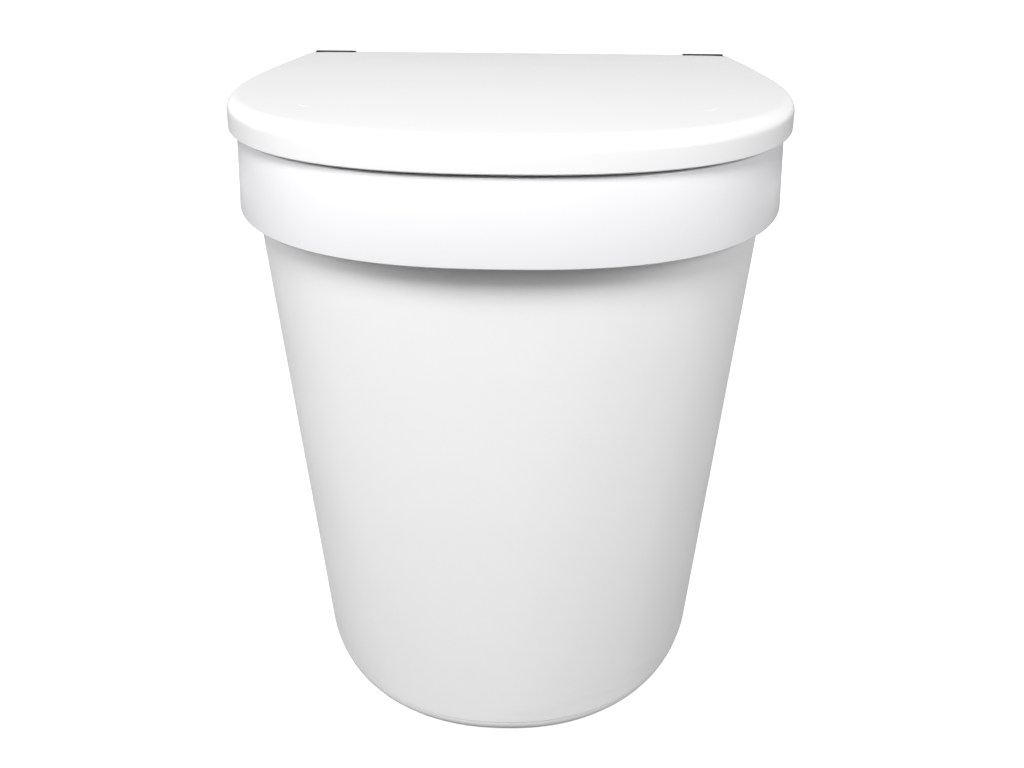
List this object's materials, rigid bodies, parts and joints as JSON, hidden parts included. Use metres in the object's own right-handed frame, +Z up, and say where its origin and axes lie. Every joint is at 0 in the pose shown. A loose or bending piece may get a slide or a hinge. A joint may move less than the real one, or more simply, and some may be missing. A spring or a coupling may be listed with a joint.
{
  "type": "composting toilet",
  "caption": "Free-standing urine-diverting composting toilet with a hinged lid, a lift-off seat section with its diverter, a solids bucket and a urine canister.",
  "frame": {"origin": "on the floor under the middle of the lid's plan, the bottom centre of the whole object's box", "axes": "+Z up, -Y to the front where a person's legs are, +X to the viewer's right when looking at the front"},
  "size_m": [0.4, 0.465, 0.45],
  "materials": {
    "white_shell": "satin moulded polypropylene",
    "white_lid": "semi-gloss moulded polypropylene",
    "grey_insert": "smooth moulded polypropylene",
    "grey_bucket": "fine-grained moulded polypropylene",
    "canister_plastic": "milky blow-moulded polyethylene",
    "black_plastic": "fine-grained moulded nylon",
    "steel": "stainless",
    "foam_rubber": "closed-cell foam",
    "rubber": "moulded rubber"
  },
  "bodies": {
    "casing": {"casing": "white_shell", "foot_front_left": "rubber", "foot_front_right": "rubber", "foot_rear_left": "rubber", "foot_rear_right": "rubber"},
    "seat_section": {"seat_collar": "white_shell", "rim_seal": "foam_rubber", "diverter": "grey_insert", "diverter_screws": "steel", "hinge_block_left": "black_plastic", "hinge_block_right": "black_plastic", "hinge_pin_left": "steel", "hinge_pin_right": "steel", "hinge_screws": "steel"},
    "strainer": {"strainer": "grey_insert"},
    "lid": {"lid": "white_lid", "buffer_front_left": "rubber", "buffer_front_right": "rubber", "buffer_rear_left": "rubber", "buffer_rear_right": "rubber"},
    "bucket": {"solids_bucket": "grey_bucket"},
    "bail": {"bail_wire": "steel", "bail_grip": "black_plastic"},
    "canister": {"urine_canister": "canister_plastic"},
    "cap_liner": {"cap_seal": "foam_rubber"},
    "cap": {"canister_cap": "black_plastic"}
  },
  "joints": [
    {"name": "seat_lift", "type": "slide", "parent": "casing", "child": "seat_section", "axis": [0, 0, 1], "range_m": [0, 0.6]},
    {"name": "lid_hinge", "type": "hinge", "parent": "seat_section", "child": "lid", "pos_m": [0, 0.2215, 0.4385], "axis": [-1, 0, 0], "range_deg": [0, 102]},
    {"name": "strainer_lift", "type": "slide", "parent": "seat_section", "child": "strainer", "axis": [0, 0, 1], "range_m": [0, 0.03]},
    {"name": "bucket_lift", "type": "slide", "parent": "casing", "child": "bucket", "axis": [0, 0, 1], "range_m": [0, 0.42]},
    {"name": "bail_swing", "type": "hinge", "parent": "bucket", "child": "bail", "pos_m": [0, 0.084, 0.2993], "axis": [1, 0, 0], "range_deg": [0, 116]},
    {"name": "canister_lift", "type": "slide", "parent": "casing", "child": "canister", "axis": [0, 0, 1], "range_m": [0, 0.42]},
    {"name": "cap_rise", "type": "slide", "parent": "canister", "child": "cap_liner", "axis": [0, 0, 1], "range_m": [0, 0.012]},
    {"name": "cap_turn", "type": "hinge", "parent": "cap_liner", "child": "cap", "pos_m": [0.082, -0.094, 0.2716], "axis": [0, 0, 1], "range_deg": [0, 720]}
  ],
  "couplings": [
    {"joint": "bucket_lift", "follows": "seat_lift", "ratio": 0.7},
    {"joint": "canister_lift", "follows": "seat_lift", "ratio": 0.7},
    {"joint": "bail_swing", "follows": "seat_lift", "rad_per_m": 3.3},
    {"joint": "cap_turn", "follows": "cap_rise", "rad_per_m": 1047.2}
  ]
}
